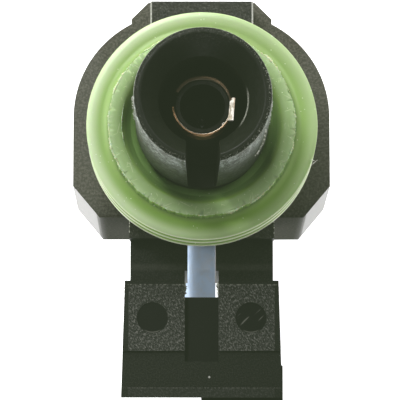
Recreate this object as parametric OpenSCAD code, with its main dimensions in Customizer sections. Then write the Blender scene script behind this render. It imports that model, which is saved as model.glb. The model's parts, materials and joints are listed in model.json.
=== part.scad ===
// Fuel injector with an off-centre overmoulded housing, a slotted plastic
// nose sleeve, a ribbed lower seal and a two-pin socket on a forked neck.
//
// Frame: the injector's axis is Z. The inlet end face is z = 0 and the nozzle
// points up, to +Z. The electrical socket is on the -Y side.

/* [Lengths along the axis] */
// Inlet face to the back of the housing
inlet_neck_l = 22; // [21:0.5:28]
// Housing, back face to front face
housing_l = 15; // [14.5:0.5:20]
// Front collar between the housing and the lower seal
collar_l = 4.5; // [4:0.1:6]
// Lower seal, without its raised lip
seal_l = 4.5; // [3.5:0.1:6]
// Nose sleeve beyond the front face of the lower seal
nose_l = 15.5; // [13:0.5:20]

/* [Nose sleeve] */
// Outer diameter of the nose sleeve
nose_d = 12.6; // [12:0.1:14]
// Step down to its root, where the seal grips
nose_root_step = 0.2; // [0:0.05:0.4]
// Depth of the funnel
nose_mouth_l = 2.6; // [1:0.1:4]
// Chamfer on the outer rim of the tip
nose_rim = 0.45; // [0.2:0.05:0.5]
// Flat land between that chamfer and the funnel
nose_land = 0.2; // [0.1:0.05:0.6]
// Width of the side slot at the tip
slot_tip_w = 3.15; // [2:0.05:4]
// Width of the side slot at its closed end
slot_base_w = 2.6; // [1.6:0.05:3.5]
// Reach of the flange that the front collar traps
nose_flange_w = 1.5; // [1:0.1:1.8]
// Thickness of that flange
nose_flange_t = 1.5; // [1:0.1:2]

/* [Lower seal] */
// Diameter over the sealing ribs
seal_d = 22; // [20:0.5:26]
// Depth of the grooves between the ribs
seal_groove = 0.35; // [0.2:0.05:0.6]
// Height of one sealing rib
seal_rib_w = 0.7; // [0.4:0.1:1]
// Width of the moat between the nose and the raised lip
moat_w = 1.05; // [0.6:0.05:1.4]
// Width of the raised lip
lip_w = 1.65; // [1:0.05:2]
// Height of the raised lip
lip_h = 1.2; // [0.6:0.1:2]
// Depth of the moat inside the lip
moat_depth = 1; // [0.5:0.1:2]

/* [Front collar] */
// Wall of the collar disc round the nose flange
collar_wall = 1.6; // [1:0.1:2.4]
// Width of the locating key
key_w = 10; // [8:0.5:12]
// Height of the locating key's end above the axis
key_y = 13.05; // [12:0.05:14]
// Width of the lower tab
tab_w = 13.9; // [12:0.1:15]
// Reach of the lower tab below the axis
tab_y = 10.2; // [10:0.1:11]
// Thickness of the lower tab
tab_t = 1.9; // [1:0.1:2.4]

/* [Housing] */
// Width of the housing
housing_w = 25.1; // [22:0.1:28]
// Radius of the two shoulder arcs
shoulder_r = 10.5; // [9.5:0.1:11]
// Height of the shoulder centres above the axis
shoulder_y = 2.45; // [2:0.05:4]
// Wall between the coil and the underside of the housing
housing_floor = 1; // [0.9:0.1:2.5]
// Width taken off each lower corner
corner_x = 2.6; // [1:0.1:4]
// Height taken off each lower corner
corner_y = 3.1; // [1:0.1:4]
// Half width of the rear key at its foot
rear_key_foot = 6.9; // [6:0.1:8]
// Half width of the rear key at its top
rear_key_top = 5.25; // [4:0.05:6]
// Foot of the rear key above the axis
rear_key_y0 = 12.25; // [11.5:0.05:12.5]
// Height of the rear key above its foot
rear_key_h = 1.65; // [1:0.05:3]
// Outer diameter of the moulded inlet neck
neck_d = 13.2; // [12.8:0.1:14]
// Wall left round the cored pockets
core_wall = 1.5; // [1:0.1:2.5]
// Depth of the cored pockets from the back face
core_l = 11; // [6:0.5:12]
// Thickness of the ribs between the pockets
core_rib = 1.2; // [0.8:0.1:2]

/* [Connector] */
// Outer width across the two neck arms
arm_w = 13.75; // [12.5:0.05:14.5]
// Gap between the two neck arms
arm_gap = 2.72; // [2:0.02:3.2]
// Start of the socket block below the axis
block_y0 = 14.1; // [13:0.1:16]
// Length of the socket block
block_l = 11.3; // [10.5:0.1:14]
// Width of the socket block at the neck
block_w0 = 14.8; // [14.6:0.1:16]
// Widening of each side of the socket block towards its mouth
block_flare = 0.325; // [0:0.025:1]
// Height of the socket block along the axis
block_h = 10; // [9.6:0.1:12]
// Side walls of the socket
block_side = 1.3; // [1:0.1:1.6]
// Front wall of the socket, with the keyway
block_front = 1.8; // [1.6:0.1:2.2]
// Rear wall of the socket
block_rear = 1.4; // [1:0.1:2]
// Width of the keyway
keyway_w = 3.25; // [2.8:0.05:4]
// Length of the keyway that is open right through
keyway_open_l = 1.5; // [1:0.1:2.5]
// Length of the blind part of the keyway
keyway_l = 6.3; // [4:0.1:7]
// Depth of the blind part of the keyway
keyway_depth = 1; // [0.5:0.1:1.1]
// Floor of the socket
block_floor = 1.5; // [1:0.1:2]
// Width of the rim at the mouth
rim_w = 0.95; // [0.5:0.05:1.5]
// Length of the smooth band behind the rim
band_l = 3.55; // [2:0.05:4]
// Step down to the smooth band
band_step = 0.25; // [0.1:0.05:0.4]
// Lean of the mouth, in degrees
mouth_lean = 12; // [0:1:15]
// Diameter of the two ejector marks
ejector_d = 3.02; // [2:0.02:3.4]
// Distance of each ejector mark from the middle
ejector_x = 4.74; // [4:0.02:5]
// Distance of the ejector marks from the neck end of the block
ejector_back = 3.6; // [2.5:0.1:4.5]
// Depth of the ejector marks
ejector_depth = 0.08; // [0.04:0.01:0.2]

/* [Terminals] */
// Distance between the two terminals
terminal_pitch = 6; // [5.4:0.1:6.6]
// Width of a terminal blade
terminal_w = 2.8; // [2:0.1:3.2]
// Thickness of a terminal blade
terminal_t = 0.8; // [0.6:0.05:1]
// Tip of the blades, measured back from the mouth
terminal_back = 3; // [2:0.1:4]
// Middle of the blades, measured back from the front face of the housing
terminal_depth = 2.2; // [2:0.1:4]

/* [Inlet and rail clip] */
// Outer diameter of the inlet tube
inlet_d = 7.8; // [7.6:0.1:8.4]
// Bore of the inlet tube at the filter
inlet_bore_d = 5.2; // [5:0.1:5.6]
// Wall of the filter's brass ring
filter_ring_t = 0.7; // [0.5:0.05:0.9]
// Diameter of the inlet flange
flange_d = 11.2; // [10.4:0.1:12]
// Thickness of the inlet flange
flange_t = 1.5; // [1:0.1:2]
// Section of the inlet O-ring
o_ring_d = 3.53; // [3:0.01:4]
// Thickness of the O-ring's backing ring
backing_t = 1.25; // [1:0.05:1.6]
// Thickness of the rail clip
clip_t = 1.2; // [1:0.1:1.6]
// Diameter of the clip's groove in the neck
clip_groove_d = 10.4; // [9.8:0.1:11]
// Height of the clip above the inlet face
clip_z = 10.5; // [9:0.1:13]
// Width over the clip's legs
clip_w = 14.4; // [13.6:0.1:16]
// Width of the clip's tongue
tongue_w = 2.9; // [2:0.1:4]
// Reach of the clip's tongue below the axis
tongue_y = 16; // [13:0.5:18]

/* [Coil and valve] */
// Outer diameter of the magnet shell
shell_d = 13; // [12.8:0.1:13.4]
// Wall of the magnet shell
shell_t = 0.6; // [0.5:0.05:0.8]
// Outer diameter of the valve body
valve_body_d = 8; // [7.6:0.1:8.1]
// Bore that guides the armature
chamber_d = 5.9; // [5.6:0.05:6.2]
// Length of the armature
armature_l = 6; // [5:0.1:7]
// Diameter of the valve ball
ball_d = 3; // [2.8:0.1:3.2]
// Diameter of the needle tube
needle_d = 2; // [1.6:0.1:2.2]
// Lift of the needle
lift = 0.1; // [0.05:0.01:0.15]
// Outer diameter of the snout that carries the split ring
snout_d = 4.9; // [4.6:0.1:5.2]
// Distance from the tip down to the end of the snout
snout_back = 5.9; // [5:0.1:7]
// Wall of the split ring
ring_t = 0.35; // [0.25:0.05:0.45]
// Width of the split ring's strip
ring_w = 2.1; // [1.5:0.1:3]
// Bore of the pole piece that holds the spring
pole_bore_d = 4; // [3.8:0.1:4.2]
// Wire diameter of the return spring
spring_wire_d = 0.45; // [0.35:0.05:0.6]
// Number of turns of the return spring
spring_turns = 7; // [5:1:9]

/* [Fits] */
// Gap where a moulding meets a metal insert
mould_gap = 0.01; // [0.005:0.005:0.03]
// Radial gap of pushed-together fixed parts
fit_gap = 0.02; // [0.01:0.01:0.04]
// Radial gap between the valve body and the nose sleeve
nose_gap = 0.05; // [0.02:0.01:0.2]
// Radial running gap of the armature and the ball
running_gap = 0.05; // [0.03:0.01:0.08]
// Gap at each side of the clip in its groove
clip_gap = 0.1; // [0.05:0.05:0.2]
// Air gap left when the needle is fully lifted
residual_gap = 0.05; // [0.03:0.01:0.1]

/* [Hidden] */
$fn = 96;
eps = 0.01;
cut = 1;

// Stations along the axis
housing_z0 = inlet_neck_l;
housing_z1 = housing_z0 + housing_l;
collar_z1 = housing_z1 + collar_l;
seal_z1 = collar_z1 + seal_l;
tip_z = seal_z1 + nose_l;
snout_z1 = tip_z - snout_back;

// Nose and seal, from the valve body outwards
nose_r = nose_d / 2;
nose_bore_r = valve_body_d / 2 + nose_gap;
nose_root_r = nose_r - nose_root_step;
nose_mouth_r = nose_r - nose_rim - nose_land;
nose_flange_r = nose_root_r + nose_flange_w;
lip_bore_r = nose_root_r + moat_w;
lip_r = lip_bore_r + lip_w;
collar_r = nose_flange_r + collar_wall;
lip_clear = 0.3;

// Coil stack, from the back wall of the housing to its open front
coil_seal_w = 0.9;
coil_seal_l = 0.9;
shell_z0 = housing_z0 + 1.4;
shell_z1 = housing_z1 - coil_seal_l;
washer_t = 1;
bobbin_z0 = shell_z0 + washer_t + fit_gap;
bobbin_z1 = shell_z1 - washer_t - fit_gap;
bobbin_flange_t = 0.7;
bobbin_wall = 0.45;
bobbin_core_r = max(valve_body_d, inlet_d) / 2 + fit_gap + bobbin_wall;
bobbin_r = shell_d / 2 - shell_t - fit_gap;
winding_fill = 0.75;
housing_drop = shell_d / 2 + housing_floor;
rear_key_y1 = rear_key_y0 + rear_key_h;
shoulder_round = min(shoulder_r, housing_w / 2);

// Valve group: the pole face is near the middle of the coil
pole_z = bobbin_z0 + (bobbin_z1 - bobbin_z0) * 0.55;
pole_tip_r = chamber_d / 2 - fit_gap;
spacer_z0 = pole_z - 1.5;
spacer_z1 = pole_z + 1.5;
armature_r = chamber_d / 2 - running_gap;
armature_z0 = pole_z + lift + residual_gap;
armature_z1 = armature_z0 + armature_l;
shoulder_z = seal_z1 + 2;
shoulder_t = 0.8;
snout_wall = 0.35;
spray_hole_r = 1.6;
seat_l = 3.1;
plate_t = 0.25;
plate_z0 = shoulder_z - shoulder_t - plate_t;
seat_z1 = plate_z0 - fit_gap;
seat_z0 = seat_z1 - seat_l;
outlet_r = 0.5;
outlet_l = 0.8;
cone_tip_z = seat_z1 - outlet_l + outlet_r;
closed_gap = 0.01;
ball_r = ball_d / 2;
ball_z = cone_tip_z - ball_r * sqrt(2) - closed_gap;
guide_r = ball_r + running_gap;
needle_wall = 0.4;
needle_bore_r = needle_d / 2 - needle_wall;
needle_seat_l = 1.6;

// Spring seats
spring_side_gap = 0.3;
spring_end_gap = 0.05;
spring_r = pole_bore_d / 2 - spring_wire_d / 2 - spring_side_gap;
spring_pocket_r = pole_bore_d / 2 - spring_end_gap;
spring_pocket_l = 1.8;
spring_l = 8.4;
spring_z1 = armature_z0 + spring_pocket_l - lift - fit_gap;
spring_z0 = spring_z1 - spring_l;
sleeve_l = 7;
sleeve_bore_r = spring_r - spring_wire_d / 2 - spring_end_gap;

// Inlet stack
o_ring_z = flange_t + fit_gap + o_ring_d / 2;
o_ring_r = inlet_d / 2 + mould_gap + o_ring_d / 2;
backing_z0 = o_ring_z + o_ring_d / 2 + fit_gap;
neck_z0 = backing_z0 + backing_t + fit_gap;
filter_r = inlet_bore_d / 2 - filter_ring_t;
filter_cage_t = 0.45;
filter_mesh_t = 0.12;
filter_end_t = 0.8;
filter_window_w = 1.1;
filter_ring_l = 3;
filter_l = 11;
filter_z0 = 0.6;
filter_bore_l = 14;

// Clip
clip_slot_r = clip_groove_d / 2 + clip_gap;
clip_leg_y = 4;

// Socket block
terminal_z = housing_z1 - terminal_depth;
cavity_h = block_h - block_front - block_rear;
cavity_z0 = terminal_z - cavity_h / 2;
cavity_z1 = terminal_z + cavity_h / 2;
block_z0 = cavity_z0 - block_rear;
block_z1 = cavity_z1 + block_front;
block_y1 = block_y0 + block_l;
block_w1 = block_w0 + 2 * block_flare;
arm_z1 = collar_z1 - tab_t - fit_gap;
arm_z0 = block_z0 + 0.5;
cavity_y0 = block_y0 + keyway_open_l + block_floor;
cavity_w = block_w0 - 2 * block_side;
rear_rib_w = block_w1 / 2 + 0.3;
rear_rib_l = 3.8;
rear_rib_y = block_y1 - 0.2;

// Lug of the bobbin, in which the blades end
lug_side = 0.6;
lug_wall = 0.4;
lug_gap = 0.1;
lug_w = terminal_pitch + terminal_t + 2 * lug_side;
lug_y0 = bobbin_core_r + 0.5;
lug_y1 = housing_drop - 0.9;
lug_z0 = terminal_z - terminal_w / 2 - lug_wall;
lug_z1 = terminal_z + terminal_w / 2 + lug_wall;
terminal_y0 = lug_y0 + lug_wall;
terminal_y1 = block_y1 - terminal_back;

// A tube with flat ends, standing on z0
module tube(r_out, r_in, z0, z1) {
    translate([0, 0, z0])
        difference() {
            cylinder(r = r_out, h = z1 - z0);
            translate([0, 0, -cut])
                cylinder(r = r_in, h = z1 - z0 + 2 * cut);
        }
}

// A box between two corners
module box(a, b) {
    translate(a)
        cube(b - a);
}

// A wedge that is centred on X: w0 wide at z0 and w1 wide at z1, from y0 to y1
module side_wedge(w0, w1, z0, z1, y0, y1) {
    translate([0, y1, 0])
        rotate([90, 0, 0])
            linear_extrude(height = y1 - y0)
                polygon([[-w0 / 2, z0], [w0 / 2, z0], [w1 / 2, z1], [-w1 / 2, z1]]);
}

// Plastic nose sleeve: flanged tube, funnel mouth and one side slot
module nose_sleeve() {
    root_z1 = seal_z1 + lip_h + lip_clear;
    slot_z0 = seal_z1 + 0.5;
    slot_slope = (slot_tip_w - slot_base_w) / (tip_z - slot_z0);
    color([0.13, 0.14, 0.12])
        difference() {
            rotate_extrude()
                polygon([
                    [nose_bore_r, housing_z1],
                    [nose_flange_r, housing_z1],
                    [nose_flange_r, housing_z1 + nose_flange_t],
                    [nose_root_r, housing_z1 + nose_flange_t],
                    [nose_root_r, root_z1],
                    [nose_r, root_z1],
                    [nose_r, tip_z - nose_rim],
                    [nose_r - nose_rim, tip_z],
                    [nose_mouth_r, tip_z],
                    [nose_bore_r, tip_z - nose_mouth_l]
                ]);
            side_wedge(slot_base_w, slot_tip_w + slot_slope * cut, slot_z0, tip_z + cut, -nose_r - cut, 0);
        }
}

// Rolled brass ring round the snout: open seam on -X, one pinched flat on +X
module split_ring() {
    r_in = snout_d / 2 + fit_gap;
    z1 = snout_z1 + 0.1;
    seam_w = 0.8;
    seam_y = 0.2;
    flat_l = 2;
    flat_in = 0.35;
    flat_out = 0.12;
    flat_t = 0.4;
    color([0.72, 0.52, 0.30])
        union() {
            difference() {
                tube(r_in + ring_t, r_in, z1 - ring_w, z1);
                box([-r_in - 2 * ring_t, seam_y, z1 - ring_w - cut], [0, seam_y + seam_w, z1 + cut]);
            }
            difference() {
                box([r_in - flat_in, -flat_l / 2, z1 - flat_t],
                    [r_in + ring_t + flat_out, flat_l / 2, z1 + flat_t / 4]);
                translate([0, 0, z1 - ring_w])
                    cylinder(r = r_in, h = ring_w + cut);
            }
        }
}

// Ribbed rubber seal with a raised lip round the nose
module lower_seal() {
    r_in = nose_root_r + fit_gap;
    r_core = seal_d / 2 - seal_groove;
    rib_pitch = (seal_l - seal_rib_w) / 2;
    z0 = collar_z1 + fit_gap;
    color([0.56, 0.68, 0.42])
        union() {
            tube(lip_bore_r + eps, r_in, z0, seal_z1 - moat_depth);
            tube(r_core, lip_bore_r, z0, seal_z1);
            tube(lip_r, lip_bore_r, seal_z1 - eps, seal_z1 + lip_h);
            for (i = [0:2])
                translate([0, 0, z0 + i * rib_pitch])
                    tube(seal_d / 2, r_core - eps, 0, seal_rib_w - fit_gap);
        }
}

// Front collar: a disc that traps the nose sleeve, a key above and a tab below
module front_collar() {
    arm_top = collar_z1 - tab_t;
    color([0.17, 0.18, 0.15])
        difference() {
            union() {
                translate([0, 0, housing_z1 + fit_gap])
                    cylinder(r = collar_r, h = collar_l - fit_gap);
                box([-key_w / 2, 0, housing_z1 + fit_gap], [key_w / 2, key_y, collar_z1]);
                box([-tab_w / 2, -tab_y, arm_top], [tab_w / 2, -nose_root_r, collar_z1]);
            }
            translate([0, 0, housing_z1 - cut])
                cylinder(r = nose_root_r + fit_gap, h = collar_l + 2 * cut);
            translate([0, 0, housing_z1 - cut])
                cylinder(r = nose_flange_r + fit_gap, h = nose_flange_t + cut + fit_gap);
            box([-2 * collar_r, -2 * collar_r, housing_z1 - cut],
                [2 * collar_r, -housing_drop - mould_gap, arm_top]);
        }
}

// Outline of the housing, seen along the axis, drawn in by inset
module housing_outline(inset = 0) {
    x = housing_w / 2 - inset;
    y0 = -housing_drop + inset;
    arc_x = housing_w / 2 - shoulder_round;
    polygon([
        [-x, shoulder_y], [-x, y0 + corner_y], [-x + corner_x, y0],
        [x - corner_x, y0], [x, y0 + corner_y], [x, shoulder_y]
    ]);
    intersection() {
        for (side = [-1, 1])
            translate([side * arc_x, shoulder_y])
                circle(r = shoulder_round - inset);
        translate([-housing_w, shoulder_y - eps])
            square([2 * housing_w, housing_w]);
    }
    translate([-arc_x - eps, shoulder_y])
        square([2 * arc_x + 2 * eps, shoulder_round - inset]);
    polygon([
        [-rear_key_foot + inset, shoulder_y], [rear_key_foot - inset, shoulder_y],
        [rear_key_foot - inset, rear_key_y0], [rear_key_top - inset, rear_key_y1 - inset],
        [-rear_key_top + inset, rear_key_y1 - inset], [-rear_key_foot + inset, rear_key_y0]
    ]);
}

// Pockets cored out of the thick upper side of the housing
module core_pockets() {
    boss_r = shell_d / 2 + core_wall;
    translate([0, 0, housing_z0 - cut])
        linear_extrude(height = core_l + cut)
            difference() {
                housing_outline(core_wall);
                circle(r = boss_r);
                translate([-housing_w, -housing_w])
                    square([2 * housing_w, housing_w + 1]);
                for (a = [-50, 0, 50])
                    rotate(a)
                        translate([-core_rib / 2, 0])
                            square([core_rib, housing_w]);
            }
}

// Overmoulded housing with the inlet neck
module housing() {
    blade_y = terminal_t / 2 + mould_gap;
    blade_z = terminal_w / 2 + mould_gap;
    color([0.15, 0.16, 0.13])
        difference() {
            union() {
                translate([0, 0, housing_z0])
                    linear_extrude(height = housing_l)
                        housing_outline();
                translate([0, 0, neck_z0])
                    cylinder(r = neck_d / 2, h = housing_z0 - neck_z0 + eps);
            }
            core_pockets();
            translate([0, 0, neck_z0 - cut])
                cylinder(r = inlet_d / 2 + mould_gap, h = housing_z1);
            translate([0, 0, shell_z0 - mould_gap])
                cylinder(r = shell_d / 2 + mould_gap, h = housing_z1);
            tube(neck_d, clip_groove_d / 2, clip_z - clip_gap, clip_z + clip_t + clip_gap);
            translate([0, 0, shell_z0 - coil_seal_l])
                cylinder(r = inlet_d / 2 + coil_seal_w + mould_gap, h = coil_seal_l);
            box([-lug_w / 2 - mould_gap, -lug_y1 - mould_gap, lug_z0 - mould_gap],
                [lug_w / 2 + mould_gap, 0, lug_z1 + mould_gap]);
            for (side = [-1, 1])
                box([side * terminal_pitch / 2 - blade_y, -housing_w, terminal_z - blade_z],
                    [side * terminal_pitch / 2 + blade_y, 0, terminal_z + blade_z]);
        }
}

// Plan of the socket block, widening towards its mouth
module block_plan() {
    polygon([
        [-block_w0 / 2, -block_y0], [-block_w1 / 2, -block_y1],
        [block_w1 / 2, -block_y1], [block_w0 / 2, -block_y0]
    ]);
}

// Socket block with two neck arms
module connector_shroud() {
    arm_y0 = housing_drop + mould_gap;
    pad_y1 = block_y1 - rim_w - band_l;
    blade_y = terminal_t / 2 + mould_gap;
    blade_z = terminal_w / 2 + mould_gap;
    key_y1 = block_y0 + keyway_open_l + keyway_l;
    color([0.18, 0.19, 0.16])
        difference() {
            union() {
                difference() {
                    translate([0, 0, block_z0])
                        linear_extrude(height = block_h)
                            block_plan();
                    translate([0, -block_y1, block_z1])
                        rotate([mouth_lean, 0, 0])
                            translate([-block_w1, -block_w1, -2 * block_h])
                                cube([2 * block_w1, block_w1, 2 * block_h]);
                }
                box([0, -rear_rib_y, block_z0],
                    [rear_rib_w, -rear_rib_y + rear_rib_l, block_z0 + block_rear]);
                for (side = [-1, 1])
                    translate([side * (arm_w + arm_gap) / 4, 0, 0])
                        box([-(arm_w - arm_gap) / 4, -block_y0 - eps, arm_z0],
                            [(arm_w - arm_gap) / 4, -arm_y0, arm_z1]);
            }
            translate([0, 0, housing_z1 - cut])
                cylinder(r = nose_flange_r + fit_gap, h = nose_flange_t + cut + fit_gap);
            box([-cavity_w / 2, -block_y1 - cut, cavity_z0], [cavity_w / 2, -cavity_y0, cavity_z1]);
            box([-keyway_w / 2, -block_y0 - keyway_open_l, block_z0 - cut],
                [keyway_w / 2, -block_y0 + cut, block_z1 + cut]);
            box([-keyway_w / 2, -key_y1, block_z1 - keyway_depth],
                [keyway_w / 2, -block_y0, block_z1 + cut]);
            box([-block_w1, -block_y1 + rim_w, block_z1 - band_step], [block_w1, -pad_y1, block_z1 + cut]);
            for (side = [-1, 1]) {
                translate([side * ejector_x, -block_y0 - ejector_back, block_z1 - ejector_depth])
                    cylinder(r = ejector_d / 2, h = cut);
                box([side * terminal_pitch / 2 - blade_y, -block_y1, terminal_z - blade_z],
                    [side * terminal_pitch / 2 + blade_y, 0, terminal_z + blade_z]);
            }
        }
}

// One flat terminal blade with a tapered tip
module terminal(side) {
    taper = 1;
    color([0.80, 0.80, 0.78])
        translate([side * terminal_pitch / 2 - terminal_t / 2, 0, terminal_z])
            rotate([90, 0, 90])
                linear_extrude(height = terminal_t)
                    polygon([
                        [-terminal_y0, -terminal_w / 2], [-terminal_y0, terminal_w / 2],
                        [-terminal_y1 + taper, terminal_w / 2], [-terminal_y1, terminal_w / 4],
                        [-terminal_y1, -terminal_w / 4], [-terminal_y1 + taper, -terminal_w / 2]
                    ]);
}

module terminal_left() {
    terminal(-1);
}

module terminal_right() {
    terminal(1);
}

// Flat steel clip that slides across the neck from the connector side
module rail_clip() {
    color([0.55, 0.62, 0.70])
        translate([0, 0, clip_z])
            difference() {
                linear_extrude(height = clip_t)
                    union() {
                        circle(r = clip_w / 2);
                        translate([-clip_w / 2, 0])
                            square([clip_w, clip_leg_y]);
                        translate([-tongue_w / 2, -tongue_y])
                            square([tongue_w, tongue_y]);
                    }
                translate([0, 0, -cut])
                    cylinder(r = clip_slot_r, h = clip_t + 2 * cut);
                translate([-clip_slot_r, 0, -cut])
                    cube([2 * clip_slot_r, clip_w, clip_t + 2 * cut]);
            }
}

// Steel inlet tube: flange, fuel passage and pole face
module inlet_tube() {
    color([0.70, 0.71, 0.72])
        difference() {
            union() {
                cylinder(r = flange_d / 2, h = flange_t);
                cylinder(r = inlet_d / 2, h = spacer_z0);
                cylinder(r = pole_tip_r, h = pole_z);
            }
            translate([0, 0, -cut])
                cylinder(r = inlet_bore_d / 2, h = filter_bore_l + cut);
            translate([0, 0, -cut])
                cylinder(r = pole_bore_d / 2, h = pole_z + 2 * cut);
        }
}

module inlet_o_ring() {
    color([0.10, 0.10, 0.10])
        translate([0, 0, o_ring_z])
            rotate_extrude()
                translate([o_ring_r, 0])
                    circle(r = o_ring_d / 2);
}

module backing_ring() {
    color([0.75, 0.72, 0.62])
        tube(neck_d / 2, inlet_d / 2 + fit_gap, backing_z0, backing_z0 + backing_t);
}

module filter_ring() {
    color([0.78, 0.62, 0.32])
        tube(inlet_bore_d / 2 - mould_gap, filter_r, filter_z0, filter_z0 + filter_ring_l);
}

// Plastic cage of the inlet filter, closed at its far end
module filter_basket() {
    window_z0 = filter_z0 + filter_ring_l + filter_cage_t;
    window_l = filter_l - filter_ring_l - filter_cage_t - 2 * filter_end_t;
    color([0.85, 0.84, 0.78])
        difference() {
            translate([0, 0, filter_z0])
                cylinder(r = filter_r - fit_gap, h = filter_l);
            translate([0, 0, filter_z0 - cut])
                cylinder(r = filter_r - filter_cage_t, h = filter_l - filter_end_t + cut);
            for (a = [0:60:120])
                rotate(a)
                    box([-filter_window_w / 2, -inlet_bore_d, window_z0],
                        [filter_window_w / 2, inlet_bore_d, window_z0 + window_l]);
        }
}

module filter_mesh() {
    r = filter_r - filter_cage_t - fit_gap;
    color([0.9, 0.9, 0.88])
        tube(r, r - filter_mesh_t, filter_z0 + filter_end_t, filter_z0 + filter_l - filter_end_t - fit_gap);
}

module adjusting_sleeve() {
    color([0.62, 0.63, 0.64])
        tube(pole_bore_d / 2 - mould_gap, sleeve_bore_r, spring_z0 - sleeve_l, spring_z0 - fit_gap);
}

// Steel can round the coil, with a window for the terminal lug
module magnet_shell() {
    color([0.45, 0.46, 0.48])
        difference() {
            union() {
                tube(shell_d / 2, shell_d / 2 - shell_t, shell_z0, shell_z1);
                tube(shell_d / 2, inlet_d / 2 + fit_gap, shell_z0, shell_z0 + washer_t);
            }
            box([-lug_w / 2 - fit_gap, -shell_d, lug_z0 - fit_gap],
                [lug_w / 2 + fit_gap, 0, shell_z1 + cut]);
        }
}

module flux_washer() {
    r_in = valve_body_d / 2 + fit_gap;
    color([0.45, 0.46, 0.48])
        difference() {
            tube(shell_d / 2 - shell_t - fit_gap, r_in, shell_z1 - washer_t, shell_z1);
            box([-lug_w / 2 - fit_gap, -shell_d, shell_z0],
                [lug_w / 2 + fit_gap, -lug_y0 + lug_gap, shell_z1 + cut]);
        }
}

// Coil bobbin with the lug that carries the terminals; its bore steps from the inlet tube to the valve body
module coil_bobbin() {
    slot_x = terminal_t / 2 + fit_gap;
    slot_z = terminal_w / 2 + fit_gap;
    color([0.30, 0.24, 0.18])
        difference() {
            union() {
                translate([0, 0, bobbin_z0])
                    cylinder(r = bobbin_core_r, h = bobbin_z1 - bobbin_z0);
                for (z = [bobbin_z0, bobbin_z1 - bobbin_flange_t])
                    translate([0, 0, z])
                        cylinder(r = bobbin_r, h = bobbin_flange_t);
                box([-lug_w / 2, -lug_y1, lug_z0], [lug_w / 2, -lug_y0, lug_z1]);
            }
            translate([0, 0, bobbin_z0 - cut])
                cylinder(r = inlet_d / 2 + fit_gap, h = spacer_z1 - bobbin_z0 + cut);
            translate([0, 0, spacer_z1 - fit_gap])
                cylinder(r = valve_body_d / 2 + fit_gap, h = bobbin_z1);
            for (side = [-1, 1])
                translate([side * terminal_pitch / 2, 0, terminal_z])
                    box([-slot_x, -housing_w, -slot_z], [slot_x, -terminal_y0 + fit_gap, slot_z]);
        }
}

// Copper winding between the bobbin's flanges, cleared round the lug
module coil_winding() {
    r_in = bobbin_core_r + fit_gap;
    color([0.70, 0.36, 0.18])
        difference() {
            tube(r_in + winding_fill * (bobbin_r - r_in), r_in,
                 bobbin_z0 + bobbin_flange_t + fit_gap, bobbin_z1 - bobbin_flange_t - fit_gap);
            box([-lug_w / 2 - lug_gap, -housing_w, lug_z0 - lug_gap],
                [lug_w / 2 + lug_gap, -lug_y0 + fit_gap, housing_z1]);
        }
}

// Rubber ring in the back wall of the housing, round the inlet tube
module coil_seal_rear() {
    r = inlet_d / 2;
    color([0.35, 0.16, 0.12])
        tube(r + coil_seal_w, r + fit_gap, shell_z0 - coil_seal_l + fit_gap, shell_z0 - fit_gap);
}

// Rubber ring in the open front of the housing, round the valve body
module coil_seal_front() {
    r = valve_body_d / 2;
    color([0.35, 0.16, 0.12])
        tube(r + coil_seal_w, r + fit_gap, shell_z1 + fit_gap, housing_z1 - fit_gap);
}

module spacer_ring() {
    color([0.78, 0.78, 0.76])
        tube(inlet_d / 2, chamber_d / 2, spacer_z0 + fit_gap, spacer_z1 - fit_gap);
}

// Stainless valve body: armature chamber, seat bore and snout
module valve_body() {
    color([0.50, 0.50, 0.48])
        difference() {
            union() {
                translate([0, 0, spacer_z1])
                    cylinder(r = valve_body_d / 2, h = shoulder_z - spacer_z1);
                translate([0, 0, spacer_z1])
                    cylinder(r = snout_d / 2, h = snout_z1 - spacer_z1);
            }
            translate([0, 0, spacer_z1 - cut])
                cylinder(r = chamber_d / 2, h = plate_z0 + plate_t + fit_gap - spacer_z1 + cut);
            translate([0, 0, plate_z0])
                cylinder(r = spray_hole_r, h = snout_z1);
            translate([0, 0, shoulder_z])
                cylinder(r = snout_d / 2 - snout_wall, h = snout_z1);
        }
}

// Valve seat: 45-degree cone, ball guide and four fuel grooves
module valve_seat() {
    groove_r = 0.45;
    cone_l = guide_r - outlet_r;
    cone_z0 = seat_z1 - outlet_l - cone_l;
    color([0.66, 0.66, 0.66])
        difference() {
            translate([0, 0, seat_z0])
                cylinder(r = chamber_d / 2 - mould_gap, h = seat_l);
            translate([0, 0, seat_z0 - cut])
                cylinder(r = guide_r, h = cone_z0 - seat_z0 + cut);
            translate([0, 0, cone_z0])
                cylinder(r1 = guide_r, r2 = outlet_r, h = cone_l);
            translate([0, 0, seat_z0])
                cylinder(r = outlet_r, h = seat_l + cut);
            for (a = [45:90:315])
                rotate(a)
                    translate([guide_r, 0, seat_z0 - cut])
                        cylinder(r = groove_r, h = cone_z0 - seat_z0 + cut);
        }
}

// Thin director plate with four spray holes
module orifice_plate() {
    hole_circle_r = 0.3;
    hole_r = 0.12;
    color([0.75, 0.75, 0.74])
        difference() {
            translate([0, 0, plate_z0])
                cylinder(r = chamber_d / 2 - mould_gap, h = plate_t);
            for (a = [0:90:270])
                rotate(a)
                    translate([hole_circle_r, 0, plate_z0 - cut])
                        cylinder(r = hole_r, h = plate_t + 2 * cut, $fn = 24);
        }
}

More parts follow.
